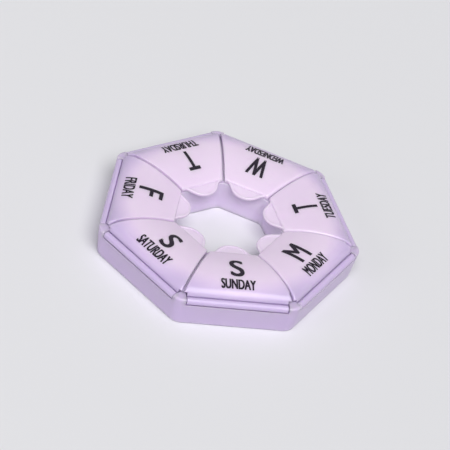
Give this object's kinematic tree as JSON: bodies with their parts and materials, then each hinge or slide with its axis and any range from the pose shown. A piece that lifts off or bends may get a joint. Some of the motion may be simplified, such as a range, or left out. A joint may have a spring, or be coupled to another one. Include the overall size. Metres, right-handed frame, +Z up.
{
  "type": "weekly pill organizer",
  "caption": "Seven-sided ring pill box with an open centre; each compartment has an arched lid that hinges at the rim and lifts by a thumb tab.",
  "frame": {"origin": "middle of the closed organizer's box, on the surface that it stands on", "axes": "+Z up out of the lids, -Y towards the Sunday side, +X to the right when Sunday faces the viewer"},
  "size_m": [0.0782, 0.0764, 0.0132],
  "materials": {
    "tray_plastic": "milky moulded polypropylene, smooth",
    "lid_plastic": "milky moulded polypropylene, smooth and a little clearer than the tray",
    "day_print": "printed day letters and names"
  },
  "bodies": {
    "tray_body": {"tray": "tray_plastic"},
    "sunday_lid_body": {"lid_sunday": "lid_plastic"},
    "monday_lid_body": {"lid_monday": "lid_plastic"},
    "tuesday_lid_body": {"lid_tuesday": "lid_plastic"},
    "wednesday_lid_body": {"lid_wednesday": "lid_plastic"},
    "thursday_lid_body": {"lid_thursday": "lid_plastic"},
    "friday_lid_body": {"lid_friday": "lid_plastic"},
    "saturday_lid_body": {"lid_saturday": "lid_plastic"}
  },
  "joints": [
    {"name": "sunday_hinge", "type": "hinge", "parent": "tray_body", "child": "sunday_lid_body", "pos_m": [0, -0.03709, 0.009], "axis": [1, 0, 0], "range_deg": [0, 160]},
    {"name": "monday_hinge", "type": "hinge", "parent": "tray_body", "child": "monday_lid_body", "pos_m": [0.0276, -0.0238, 0.009], "axis": [0.6235, 0.7818, 0], "range_deg": [0, 160]},
    {"name": "tuesday_hinge", "type": "hinge", "parent": "tray_body", "child": "tuesday_lid_body", "pos_m": [0.03442, 0.00607, 0.009], "axis": [-0.2225, 0.9749, 0], "range_deg": [0, 160]},
    {"name": "wednesday_hinge", "type": "hinge", "parent": "tray_body", "child": "wednesday_lid_body", "pos_m": [0.01532, 0.03002, 0.009], "axis": [-0.901, 0.4339, 0], "range_deg": [0, 160]},
    {"name": "thursday_hinge", "type": "hinge", "parent": "tray_body", "child": "thursday_lid_body", "pos_m": [-0.01532, 0.03002, 0.009], "axis": [-0.901, -0.4339, 0], "range_deg": [0, 160]},
    {"name": "friday_hinge", "type": "hinge", "parent": "tray_body", "child": "friday_lid_body", "pos_m": [-0.03442, 0.00607, 0.009], "axis": [-0.2225, -0.9749, 0], "range_deg": [0, 160]},
    {"name": "saturday_hinge", "type": "hinge", "parent": "tray_body", "child": "saturday_lid_body", "pos_m": [-0.0276, -0.0238, 0.009], "axis": [0.6235, -0.7818, 0], "range_deg": [0, 160]}
  ]
}
